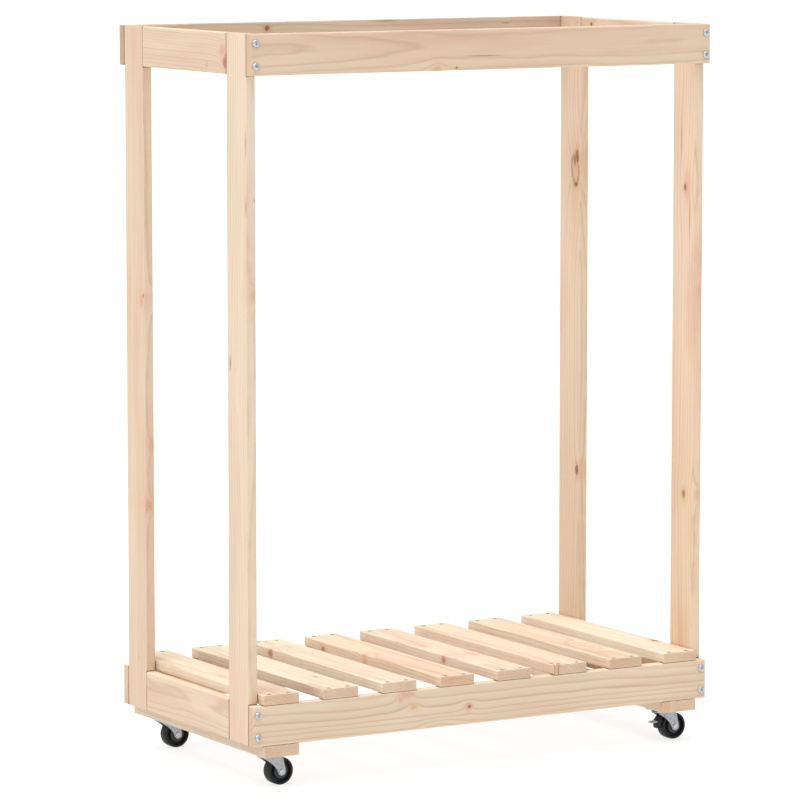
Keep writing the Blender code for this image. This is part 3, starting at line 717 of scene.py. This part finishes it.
# How single boards differ, in metres in the board's own frame. The pith is at (across, out of the
# face). A knot is (kind, place along, place across, radius, stretch along the grain); one through
# an edge has its place out of the face instead of across, and the edge last. A streak is (along,
# across, half length, half width). A swirl is where the rings rise, and make arches: (along,
# across, reach along, reach across, rise).
OWN_LOOKS = {
    "post_front_left": dict(
        pith=(0.055, -0.02), ring=0.0058, pink=0.5, contrast=0.22,
        knots=[("tan", 0.134, -0.004, 0.0045, 2.0, LOW), ("dark", 0.269, -0.006, 0.0011, 1.5, LOW)],
        streaks=[(0.347, -0.027, 0.034, 0.0015), (0.259, -0.0272, 0.019, 0.0016),
                 (0.038, 0.02, 0.017, 0.0035)],
        swirls=[(0.0, 0.004, 0.07, 0.018, 0.01)]),
    "post_back_left": dict(
        pith=(-0.06, -0.016), ring=0.0064, pink=0.5, tint=(0.94, 0.9, 0.875), contrast=0.12,
        knots=[("blush", 0.103, -0.021, 0.0054, 1.5), ("dark", 0.111, -0.026, 0.0012, 2.2),
               ("tan", -0.424, -0.004, 0.0018, 1.3), ("tan", -0.198, 0.001, 0.0055, 1.5, LOW),
               ("tan", -0.112, -0.003, 0.004, 2.4, LOW)]),
    "post_back_right": dict(
        pith=(0.05, -0.03), ring=0.0066, pink=0.5, tint=(0.94, 0.9, 0.87), contrast=0.22,
        knots=[("hollow", 0.267, 0.0152, 0.0104, 2.4), ("dark", 0.288, 0.0205, 0.0038, 2.6),
               ("dark", 0.281, 0.0135, 0.0021, 3.4), ("dark", 0.2445, 0.017, 0.0042, 0.7),
               ("dark", -0.196, 0.023, 0.004, 1.8)]),
    "post_front_right": dict(
        pith=(-0.055, 0.03), ring=0.006, pink=0.8, tint=(1.02, 0.965, 0.935), contrast=0.22,
        knots=[("blush", 0.26, 0.011, 0.007, 2.6), ("dark", 0.259, 0.004, 0.0026, 1.8),
               ("dark", -0.198, 0.006, 0.0034, 1.6), ("tan", -0.197, 0.002, 0.005, 1.5, HIGH)],
        streaks=[(0.212, 0.0165, 0.048, 0.0019), (0.33, -0.006, 0.05, 0.0016)]),
    "rail_top_front": dict(
        pith=(0.006, -0.036), ring=0.0054, pink=0.6, tint=(0.94, 0.9, 0.88), drift=0.018, contrast=0.2,
        knots=[("tan", -0.082, -0.028, 0.0055, 1.2), ("dark", -0.051, -0.0255, 0.0012, 1.2)],
        streaks=[(-0.008, -0.009, 0.046, 0.0011)]),
    # The dark tint of this board is painted shade, for its inner face, which lies in shade behind the
    # front rail.
    "rail_top_back": dict(
        pith=(0.03, 0.04), ring=0.0052, pink=0.6, tint=(0.79, 0.75, 0.73), contrast=0.2,
        knots=[("dark", -0.146, -0.02, 0.0034, 1.1)],
        streaks=[(0.053, -0.027, 0.034, 0.0018), (0.269, -0.02, 0.012, 0.0014)]),
    "side_rail_top_left": dict(
        pith=(0.075, -0.03), ring=0.0042, pink=0.5, tint=(0.93, 0.92, 0.9), drift=0.01, contrast=0.16,
        knots=[("red", -0.124, 0.011, 0.009, 0.6), ("tan", -0.07, 0.019, 0.0026, 1.3),
               ("blush", -0.116, -0.004, 0.006, 1.0)]),
    "side_rail_top_right": dict(
        pith=(0.02, 0.036), ring=0.0054, pink=0.3, tint=(0.98, 0.96, 0.95),
        knots=[("dark", 0.098, 0.019, 0.003, 1.1), ("dark", -0.135, 0.028, 0.0012, 2.0)]),
    "side_rail_bottom_left": dict(
        pith=(-0.012, -0.042), ring=0.0056, pink=0.8, tint=(0.94, 0.92, 0.91), contrast=0.18),
    "rail_bottom_front": dict(
        pith=(0.036, -0.024), ring=0.007, pink=0.3, tint=(0.97, 0.95, 0.93), drift=0.015,
        knots=[("blush", -0.0296, -0.0034, 0.0042, 1.1), ("dark", -0.0278, -0.0034, 0.0022, 1.0),
               ("tan", -0.1215, 0.005, 0.0034, 1.6), ("blush", -0.132, 0.023, 0.0044, 1.8),
               ("blush", -0.143, 0.018, 0.0036, 0.8), ("dark", 0.188, -0.0062, 0.004, 1.8, HIGH)],
        swirls=[(-0.078, -0.029, 0.052, 0.023, 0.0085)]),
    "slat_2": dict(tint=(1.0, 1.02, 1.04), streaks=[(-0.1066, -0.011, 0.014, 0.004)]),
    "slat_3": dict(tint=(1.03, 1.06, 1.09), knots=[("red", 0.132, 0.0, 0.0056, 1.2, HIGH)]),
    "slat_4": dict(
        pith=(0.002, -0.075), contrast=0.5, pink=0.7, tint=(1.01, 0.96, 0.93),
        knots=[("dark", 0.142, -0.003, 0.0036, 1.3, HIGH), ("tan", 0.018, 0.028, 0.0055, 1.3),
               ("tan", 0.014, 0.012, 0.0024, 2.0)]),
    "slat_5": dict(
        tint=(0.95, 0.93, 0.94),
        knots=[("red", -0.048, 0.001, 0.0052, 1.1, HIGH), ("blush", -0.058, -0.016, 0.0058, 1.8)]),
    "slat_6": dict(
        pink=0.6,
        knots=[("blush", -0.172, 0.023, 0.0036, 1.6), ("red", -0.1836, 0.0225, 0.0042, 0.8),
               ("hollow", -0.1985, 0.024, 0.0042, 1.2)]),
    "slat_7": dict(
        pink=0.8, tint=(0.98, 0.98, 0.96), contrast=0.5,
        swirls=[(-0.084, -0.005, 0.07, 0.022, 0.014)]),
    "slat_8": dict(knots=[("dark", -0.098, -0.023, 0.004, 1.8)]),
    "caster_board_left": dict(tint=(1.0, 1.02, 1.06)),
    "caster_board_right": dict(knots=[("tan", -0.196, -0.023, 0.006, 1.2)]),
}


def board_looks():
    """Every board's look: made up from its number, then changed by its own look."""
    looks = {}
    for number, node in enumerate(named(*WOODEN)):
        looks[node] = {"seed": 3.7 * number + 1.0, "drift": 0.026, "contrast": 0.30, "pink": 0.45,
                       "pith": (0.022 * varied(number, 0), -0.034 - 0.016 * abs(varied(number, 1))),
                       "ring": 0.0050 + 0.0010 * varied(number, 2), "tint": (1.0, 1.0, 1.0),
                       "knots": [], "streaks": [], "swirls": []}
        looks[node].update(OWN_LOOKS.get(node, {}))
        looks[node]["tint"] = (*looks[node]["tint"], 1.0)
    return looks


def make_boards():
    holes = all_holes()
    for node, look in board_looks().items():
        matrix, size = board_axes(node)
        radius = SLAT_RADIUS if node.startswith(LYING) else STOCK_RADIUS
        mesh = board_mesh(node, matrix, size, radius, look["seed"])
        mine = [one for one in holes if meets(one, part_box(node))]
        mesh = combined(mesh, drills(mine, matrix.inverted()), smooth_angle=BOARD_SMOOTH_ANGLE)
        shown(node + "_board", mesh, pine(node, look), "frame", node, matrix)


# ---- Screws and dowels ----

PAN_HEAD = ((0.30, 1.0), (0.60, 0.96), (0.80, 0.84), (0.93, 0.62), (0.99, 0.36), (1.0, 0.12), (0.97, 0.0))
SCREW_STEPS = 16
ROWS_PER_TURN = 4
NECK_SHARE = 0.3  # of a screw's length that has no thread
NECK_RADIUS = 0.85  # of the neck, as a share of the thread's


def ring_at(radii, height):
    angles = [2 * pi * step / len(radii) for step in range(len(radii))]
    return [(radius * cos(a), radius * sin(a), height) for radius, a in zip(radii, angles)]


def thread_radii(screw, depth):
    """The shank's radii at a depth: a smooth neck, then a thread that tapers to the point."""
    taper = min(1.0, (screw.length - depth) / (3 * screw.shank))
    if depth < NECK_SHARE * screw.length:
        return [NECK_RADIUS * screw.shank] * SCREW_STEPS
    turns = [(depth / screw.pitch + step / SCREW_STEPS) % 1 for step in range(SCREW_STEPS)]
    return [taper * screw.shank * (0.70 + 0.30 * (1 - abs(2 * turn - 1))) for turn in turns]


def cross_recess(width, slot, top, depth):
    """A cutter with a cross for its section, narrower at its lower end."""
    outline = []
    for quarter in range(4):
        along = Vector((cos(quarter * pi / 2), sin(quarter * pi / 2), 0))
        beside = Vector((-along.y, along.x, 0)) * slot / 2
        outline += [along * slot / 2 - beside, along * width / 2 - beside, along * width / 2 + beside]
    bm = bmesh.new()
    loft(bm, [[point * scale + Vector((0, 0, z)) for point in outline]
              for scale, z in ((1.0, top + GAP), (0.92, top - 0.4 * depth), (0.45, top - depth))])
    return mesh_from("recess", bm)


def screw_mesh(name, screw, sunk):
    """A screw along Z, point down, with a cross recess. Its seat, or its sunk head's top, is at 0."""
    head, height, neck = screw.head, screw.height, NECK_RADIUS * screw.shank
    if sunk:
        profile = [(0.92 * head, 0), (head, -0.1 * height), (head, -0.2 * height), (neck, -height)]
    else:
        profile = [(head * radius, height * z) for radius, z in PAN_HEAD] + [(neck, -GAP)]
    rings = [ring_at([radius] * SCREW_STEPS * 2, z) for radius, z in profile[:-1]]
    first = -profile[-1][1]
    rows = round(ROWS_PER_TURN * (screw.length - first) / screw.pitch)
    for row in range(rows):
        depth = first + (screw.length - first) * row / rows
        radii = [radius for radius in thread_radii(screw, depth) for _ in range(2)]
        rings.append(ring_at(radii, -depth))
    rings.append(ring_at([0.0001] * SCREW_STEPS * 2, -screw.length))
    bm = bmesh.new()
    loft(bm, rings)
    top = profile[0][1]
    recess = cross_recess(head, 0.24 * head, top, 0.75 * height)
    return combined(mesh_from(name, bm, 50), recess, smooth_angle=50)


def show_screws(node, mesh, places, material):
    """All the screws through a board or a plate, as one piece."""
    name = node + "_screws"
    shown(name, gathered(name, mesh, places, 50), material, "frame", None)


def make_screws():
    steel = zinc("zinc_screw")
    dull = zinc("zinc_countersunk", DULL_STEEL, 0.42, 4.0)
    mesh = screw_mesh("rail_screw", RAIL_SCREW, sunk=False)
    for number, node in enumerate(named("rail_screw")):
        seat, face = rail_screw_seat(node)
        show_steel(node, mesh, steel, "frame", facing(seat, (0, face, 0), 2.4 * number))
    mesh = screw_mesh("slat_screw", SLAT_SCREW, sunk=True)
    for node in named(*LYING):
        seat, up = screwed_side(node)
        z = seat - up * SLAT_SCREW_DEPTH
        show_screws(node, mesh, [facing((x, y, z), (0, 0, up), 1.7 * number + x * 40)
                                 for number, (x, y) in enumerate(board_screw_places(node))], dull)
    mesh = screw_mesh("plate_screw", PLATE_SCREW, sunk=False)
    for node in named("caster_plate"):
        holes = plate_screw_places(middle(node))
        show_screws(node, mesh, [facing((x, y, PLATE_LOW.z - GAP), (0, 0, -1), 1.1 * number + x * 30)
                                 for number, (x, y) in enumerate(holes)], steel)


def make_dowels():
    """Fluted beech dowels, with their ends bevelled."""
    radii = [DOWEL_RADIUS * (1.0 if step % 4 < 2 else 0.93) for step in range(48)]
    ends = ((0.80, 0.5), (1.0, 0.47), (1.0, -0.47), (0.80, -0.5))
    bm = bmesh.new()
    loft(bm, [ring_at([scale * radius for radius in radii], share * DOWEL_LENGTH)
              for scale, share in ends])
    mesh = mesh_from("dowel", bm, 25)
    look = dict(board_looks()["slat_1"], ring=0.0016, tint=(0.93, 0.86, 0.76, 1.0))
    beech = pine("dowels", look)
    for node, places in dowel_places().items():
        pieces = gathered("dowels", mesh, [facing(place, (0, 1, 0)) for place in places], 25)
        shown(node.replace("side_rail", "dowels"), pieces, beech, "frame", None)


# ---- Casters: made about the swivel's axis with the floor at 0; the wheel trails towards +X ----

SWIVEL = middle("swivel_rivet_front_left")
WHEEL_LOW, WHEEL_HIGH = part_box("wheel_front_left")
WHEEL_RADIUS = (WHEEL_HIGH.z - WHEEL_LOW.z) / 2
WHEEL_HALF = (WHEEL_HIGH.y - WHEEL_LOW.y) / 2
AXLE = (middle("wheel_front_left").x - SWIVEL.x, WHEEL_RADIUS)
AXLE_RADIUS = 0.0025
AXLE_HEAD = 0.0039
HUB_RADIUS = 0.0107
HUB_HALF = 0.0082  # half the hub's width
WEB_HALF = 0.0030  # half the thickness of the web between the hub and the rim
HUB_RING = (0.0052, 0.0065)  # a shallow ring sunk into the hub, from and to these radii
RIM_RADIUS = 0.0163  # where the raised rim starts
SHOULDER = 0.0015  # rounding of the tread's edges
MOULD_LINE = 0.0001  # height, and half the width, of the line round the middle of the tread
SHEET = 0.0018
FORK_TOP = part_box("fork_front_left")[1].z
FORK_BOTTOM = FORK_TOP - SHEET
FORK_RADIUS = 0.0170
LEG_DEPTH = 0.0105  # from the middle of the caster to the middle of a leg
FORK_OUTER = LEG_DEPTH + SHEET / 2
FORK_TOP_REACH = 0.0129
FORK_LEFT = (-0.0132, 0.0402)
FORK_RIGHT = (0.0172, 0.0400)
FORK_HOLLOW = (0.0050, 0.0305)  # draws the leading edge of a leg inwards
FORK_END_RADIUS = 0.0062
RIVET_RADIUS = 0.0030
RIVET_HEAD = 0.0046
BALL_RADIUS = 0.0010
RACE_RADIUS = 0.0110
RACE_LIP = 0.0009  # how far the lips on either side of the balls stand up
LIP_SPREAD = 0.0022  # from the balls to the lips
LIP_PROFILE = ((0.0009, 0.0), (0.0005, 0.8), (0.0, 1.0), (-0.0005, 0.8), (-0.0009, 0.0))
PLATE_CORNER = 0.0050
BRAKE_PIN = (-0.0030, 0.0370)
BRAKE_PIN_RADIUS = 0.0012
BRAKE_TRAVEL = radians(8)
BRAKE_WIDTH = 0.0130
BARREL_RADIUS = 0.0026  # round the pin
TONGUE_TIP = [(-0.0126, 0.0296), (-0.0138, 0.0290), (-0.0138, 0.0280), (-0.0120, 0.0280)]
SHOE_WIDTH = 0.0120
SHOE_BACK = [(-0.0078, 0.0332), (-0.0124, 0.0292), (-0.0136, 0.0284), (-0.0136, 0.0250),
             (-0.0128, 0.0180)]
TOE_START = (-0.0122, 0.0290)
TOE_TIP = (-0.0230, 0.0268)
TOE_SHEET = 0.0012
GRIP_BARS = (-0.0034, -0.0016, 0.0002)  # along the toe, from its middle
GRIP_RISE = 0.00035


def rounded_rectangle(length, width, radius, steps=6):
    half_l, half_w = length / 2 - radius, width / 2 - radius
    corners = ((1, 1, 0), (-1, 1, pi / 2), (-1, -1, pi), (1, -1, 1.5 * pi))
    return [point for side_x, side_y, start in corners
            for point in arc((side_x * half_l, side_y * half_w), radius, start, start + pi / 2, steps)]


def tangent_angle(point, centre, radius, side):
    """Where a straight line from the point touches the circle, on its left (1) or right (-1)."""
    offset = (point[0] - centre[0], point[1] - centre[1])
    return atan2(offset[1], offset[0]) + side * acos(radius / hypot(*offset))


def curve_through(start, pull, end, steps=8):
    """A bend from start towards pull and on to end."""
    shares = [step / steps for step in range(1, steps)]
    return [tuple((1 - t) ** 2 * a + 2 * t * (1 - t) * b + t * t * c
                  for a, b, c in zip(start, pull, end)) for t in shares]


def lips(height, side):
    """Two rounded lips of a ball race, as (radius, height) from the outer one inwards."""
    return [(radius + out, height + side * share * RACE_LIP)
            for radius in (RACE_RADIUS + LIP_SPREAD, RACE_RADIUS - LIP_SPREAD)
            for out, share in LIP_PROFILE]


def plate_mesh():
    """A square plate with four screw holes and a ball race pressed into its underside."""
    side, thickness = PLATE_HIGH.x - PLATE_LOW.x, PLATE_HIGH.z - PLATE_LOW.z
    screws = [circle(place, PLATE_SCREW.shank + GAP, HOLE_STEPS) for place in plate_screw_places((0, 0))]
    rivet = circle((0, 0), RIVET_RADIUS + GAP, 32)
    plate = sheet_metal("plate", [rounded_rectangle(side, side, PLATE_CORNER), rivet] + screws, thickness)
    plate.transform(Matrix.Translation((0, 0, (PLATE_HIGH.z + PLATE_LOW.z) / 2)))
    back = PLATE_LOW.z + thickness / 2
    race = lips(PLATE_LOW.z, -1)
    race = [(race[0][0], back)] + race + [(race[-1][0], back)]
    return combined(plate, turned("race", race, 64, closed=True), "UNION")


def rivet_mesh():
    """A peened rivet: the end of its domed head is small enough to clear a brake's barrel below it."""
    seat, low = FORK_BOTTOM - GAP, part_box("swivel_rivet_front_left")[0].z
    height = seat - low
    dome = [(1.0, 0.0), (1.0, 0.25), (0.88, 0.48), (0.66, 0.72), (0.46, 0.90), (0.34, 1.0), (0.26, 1.0),
            (0.18, 0.88), (0.0, 0.85)]
    head = [(radius * RIVET_HEAD, seat - share * height) for radius, share in dome]
    top = PLATE_HIGH.z
    shank = [(0, top), (RIVET_RADIUS - GAP, top), (RIVET_RADIUS, top - GAP), (RIVET_RADIUS, seat)]
    return turned("rivet", shank + head, 32)


def balls_mesh():
    bm = bmesh.new()
    bmesh.ops.create_icosphere(bm, subdivisions=2, radius=BALL_RADIUS)
    ball = mesh_from("ball", bm, 60)
    height = (PLATE_LOW.z + FORK_TOP) / 2
    places = [Matrix.Translation((x, y, height)) for x, y in circle((0, 0), RACE_RADIUS, 12)]
    return gathered("balls", ball, places, 60)


def fork_leg_outline():
    """One leg from the side: wide under the disc, hollow in front, with a round end at the axle."""
    start = tangent_angle(FORK_HOLLOW, AXLE, FORK_END_RADIUS, 1)
    finish = tangent_angle(FORK_RIGHT, AXLE, FORK_END_RADIUS, -1)
    end = arc(AXLE, FORK_END_RADIUS, start, finish + 2 * pi, 24)
    top = FORK_TOP - SHEET / 2
    front = [(FORK_TOP_REACH, top), (-FORK_TOP_REACH, top), FORK_LEFT]
    return front + curve_through(FORK_LEFT, FORK_HOLLOW, end[0]) + end + [FORK_RIGHT]


def fork_mesh(braked):
    """A disc with a ball race on top and two legs with holes for the axle and the brake's pin."""
    bore, edge = RIVET_RADIUS + GAP, 0.0004
    profile = [(FORK_RADIUS - edge, FORK_BOTTOM), (bore, FORK_BOTTOM), (bore, FORK_TOP)]
    profile += reversed(lips(FORK_TOP, 1))
    profile += [(FORK_RADIUS - edge, FORK_TOP), (FORK_RADIUS, FORK_TOP - edge),
                (FORK_RADIUS, FORK_BOTTOM + edge)]
    fork = turned("fork", profile, 64, closed=True)
    holes = [circle(AXLE, AXLE_RADIUS + GAP, 24)]
    if braked:
        holes.append(circle(BRAKE_PIN, BRAKE_PIN_RADIUS + GAP, 16))
    leg = sheet_metal("leg", [fork_leg_outline()] + holes, SHEET)
    leg.transform(XZ_PLANE)
    for face in FACES.values():
        side = leg.copy()
        side.transform(Matrix.Translation((0, face * LEG_DEPTH, 0)))
        fork = combined(fork, side, "UNION")
    return fork


def laid(mesh, place):
    """A shape turned about Z, laid along Y through a place (x, z)."""
    mesh.transform(Matrix.Translation((place[0], 0, place[1])) @ XZ_PLANE)
    return mesh


def mirrored(profile):
    """A profile of (radius, height) above 0, and the same below it."""
    return profile + [(radius, -height) for radius, height in reversed(profile)]


def axle_mesh():
    """A pin with a riveted head at both ends, each with a small dimple."""
    seat, head = FORK_OUTER + GAP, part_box("axle_front_left")[1].y - middle("axle_front_left").y
    height = head - seat
    side = [(0, seat + 0.55 * height), (0.0010, seat + 0.60 * height), (0.0015, head),
            (0.70 * AXLE_HEAD, head), (0.90 * AXLE_HEAD, seat + 0.80 * height),
            (AXLE_HEAD, seat + 0.45 * height), (AXLE_HEAD, seat), (AXLE_RADIUS, seat)]
    return laid(turned("axle", mirrored(side), 32), AXLE)


def wheel_mesh():
    """Bore, hub with a shallow ring, groove, raised rim and a rounded tread with a mould line."""
    inner, outer = HUB_RING
    hub = [(AXLE_RADIUS + GAP, HUB_HALF), (inner, HUB_HALF), (inner + 0.0003, HUB_HALF - 0.0003),
           (outer - 0.0003, HUB_HALF - 0.0003), (outer, HUB_HALF),
           (HUB_RADIUS - 0.0005, HUB_HALF), (HUB_RADIUS, HUB_HALF - 0.0005)]
    web = [(HUB_RADIUS + 0.0003, WEB_HALF + 0.0008), (HUB_RADIUS + 0.0009, WEB_HALF),
           (RIM_RADIUS - 0.0009, WEB_HALF), (RIM_RADIUS - 0.0004, WEB_HALF + 0.0008)]
    rim = [(RIM_RADIUS, WHEEL_HALF - 0.0004), (RIM_RADIUS + 0.0004, WHEEL_HALF),
           (RIM_RADIUS + 0.0013, WHEEL_HALF), (RIM_RADIUS + 0.0016, WHEEL_HALF - 0.0002),
           (RIM_RADIUS + 0.0019, WHEEL_HALF)]
    tread = WHEEL_RADIUS - MOULD_LINE
    tyre = arc((tread - SHOULDER, WHEEL_HALF - SHOULDER), SHOULDER, pi / 2, 0, 6)
    tyre += [(tread, 3 * MOULD_LINE), (WHEEL_RADIUS, MOULD_LINE)]
    profile = mirrored(hub + web + rim + tyre)
    return laid(turned("wheel", profile, 72, closed=True, smooth_angle=30), AXLE)


def turned_back(point, angle):
    """The point before the brake turned by an angle about its pin, toe down."""
    x, z = point[0] - BRAKE_PIN[0], point[1] - BRAKE_PIN[1]
    return (BRAKE_PIN[0] + x * cos(angle) + z * sin(angle),
            BRAKE_PIN[1] - x * sin(angle) + z * cos(angle))


def brake_mesh():
    """The brake's barrel and tongue, and the shoe that meets the tread."""
    barrel = arc(BRAKE_PIN, BARREL_RADIUS, radians(-145), radians(135), 20)
    bore = circle(BRAKE_PIN, BRAKE_PIN_RADIUS + GAP / 3, 20)
    tongue = sheet_metal("tongue", [barrel + TONGUE_TIP, bore], BRAKE_WIDTH)
    pressed = arc(AXLE, WHEEL_RADIUS + GAP, radians(188), radians(155), 16)
    outline = [turned_back(point, BRAKE_TRAVEL) for point in pressed] + SHOE_BACK
    shoe = sheet_metal("shoe", [outline], SHOE_WIDTH)
    brake = combined(tongue, shoe, "UNION")
    brake.transform(XZ_PLANE)
    return brake


def brake_pin_mesh():
    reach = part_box("brake_lever_front_right")[1].y - middle("brake_lever_front_right").y
    end = [(0, reach), (BRAKE_PIN_RADIUS - GAP, reach), (BRAKE_PIN_RADIUS, reach - GAP)]
    return laid(turned("pin", mirrored(end), 20), BRAKE_PIN)


def toe_mesh():
    """The pedal's steel toe, with three low bars across it for grip."""
    run, rise = TOE_START[0] - TOE_TIP[0], TOE_START[1] - TOE_TIP[1]
    toe = sheet_metal("toe", [rounded_rectangle(hypot(run, rise), BRAKE_WIDTH, 0.0020)], TOE_SHEET)
    bar = sheet_metal("bar", [rounded_rectangle(0.0007, 0.8 * BRAKE_WIDTH, 0.0003, 3)], TOE_SHEET, 0.0001)
    bars = gathered("bars", bar, [Matrix.Translation((x, 0, GRIP_RISE)) for x in GRIP_BARS])
    toe = combined(toe, bars, "UNION")
    centre = ((TOE_START[0] + TOE_TIP[0]) / 2, 0, (TOE_START[1] + TOE_TIP[1]) / 2)
    toe.transform(Matrix.Translation(centre) @ Matrix.Rotation(-atan2(rise, run), 4, "Y"))
    return toe


def make_casters():
    """The same meshes at every corner, and a brake on the right-hand ones."""
    steel = zinc("zinc_caster", seed=2.0)
    pressed = zinc("zinc_fork", srgb(174, 177, 181), 0.42, 7.0)
    tyre = black_plastic("black_wheel", srgb(26, 27, 29), 0.46, 3.0, hub=srgb(62, 62, 64))
    block = black_plastic("black_brake", srgb(27, 28, 30), 0.40, 8.0)
    plate, rivet, balls, axle, wheel = plate_mesh(), rivet_mesh(), balls_mesh(), axle_mesh(), wheel_mesh()
    forks = {"left": fork_mesh(False), "right": fork_mesh(True)}
    shoe, pin, toe = brake_mesh(), brake_pin_mesh(), toe_mesh()
    for corner in CORNERS:
        end = corner.split("_")[1]
        place = Matrix.Translation((*middle("swivel_rivet_" + corner).xy, 0))
        swivel, spun, lever = "swivel_" + corner, "wheel_" + corner, "brake_lever_" + corner
        show_steel("caster_plate_" + corner, plate, pressed, "frame", place)
        show_steel("swivel_rivet_" + corner, rivet, steel, "frame", place)
        shown("swivel_balls_" + corner, balls, steel, swivel, None, place)
        show_steel("fork_" + corner, forks[end], pressed, swivel, place)
        show_steel("axle_" + corner, axle, steel, swivel, place)
        shown("wheel_" + corner + "_moulded", wheel, tyre, spun, spun, place)
        if end == "right":
            body = "brake_" + corner
            shown("brake_shoe_" + corner, shoe, block, body, lever, place)
            shown("brake_pin_" + corner, pin, steel, body, lever, place)
            shown("brake_toe_" + corner, toe, steel, body, lever, place)


# ---- Light, floor and camera ----

def make_studio():
    """Even light from all around, and a wide soft lamp from above and a little from the left."""
    world = bpy.data.worlds.new("studio")
    bpy.context.scene.world = world
    world.use_nodes = True
    background = world.node_tree.nodes["Background"]
    background.inputs["Color"].default_value = (0.97, 0.985, 1.0, 1.0)
    background.inputs["Strength"].default_value = 0.75
    lamp = bpy.data.lights.new("soft_key", "SUN")
    lamp.energy = 2.85
    lamp.angle = radians(75)
    lamp.color = (1.0, 0.985, 0.965)
    key = new_object("soft_key", lamp)
    key.rotation_mode = "QUATERNION"
    key.rotation_quaternion = Vector((-0.27, 0.00, 0.95)).to_track_quat("Z", "Y")


def make_floor():
    """A white floor. It glows, so that the lamp leaves only a trace of a shadow on it."""
    bm = bmesh.new()
    bmesh.ops.create_grid(bm, x_segments=8, y_segments=8, size=90)
    floor = new_object("floor", mesh_from("floor", bm))
    pale = Formula("pale_floor")
    floor.data.materials.append(pale.finish(Base_Color=(0.25, 0.25, 0.25, 1), Roughness=0.9,
                                            Emission_Color=(1, 1, 1, 1), Emission_Strength=0.76))


CAMERA_PLACE = (-3.4165, -5.7780, 1.3190)
CAMERA_HEADING = radians(-30.40)
CAMERA_PITCH = radians(6.84)
CAMERA_LENS = 206.5  # millimetres, on a 36 mm sensor


def make_camera():
    data = bpy.data.cameras.new("camera")
    data.sensor_width = 36
    data.lens = CAMERA_LENS
    camera = new_object("camera", data)
    camera.location = CAMERA_PLACE
    camera.rotation_euler = (pi / 2 - CAMERA_PITCH, 0, CAMERA_HEADING)
    bpy.context.scene.camera = camera


make_camera()
make_studio()
make_floor()
make_boards()
make_screws()
make_dowels()
make_casters()
bpy.context.scene.view_settings.view_transform = "Standard"
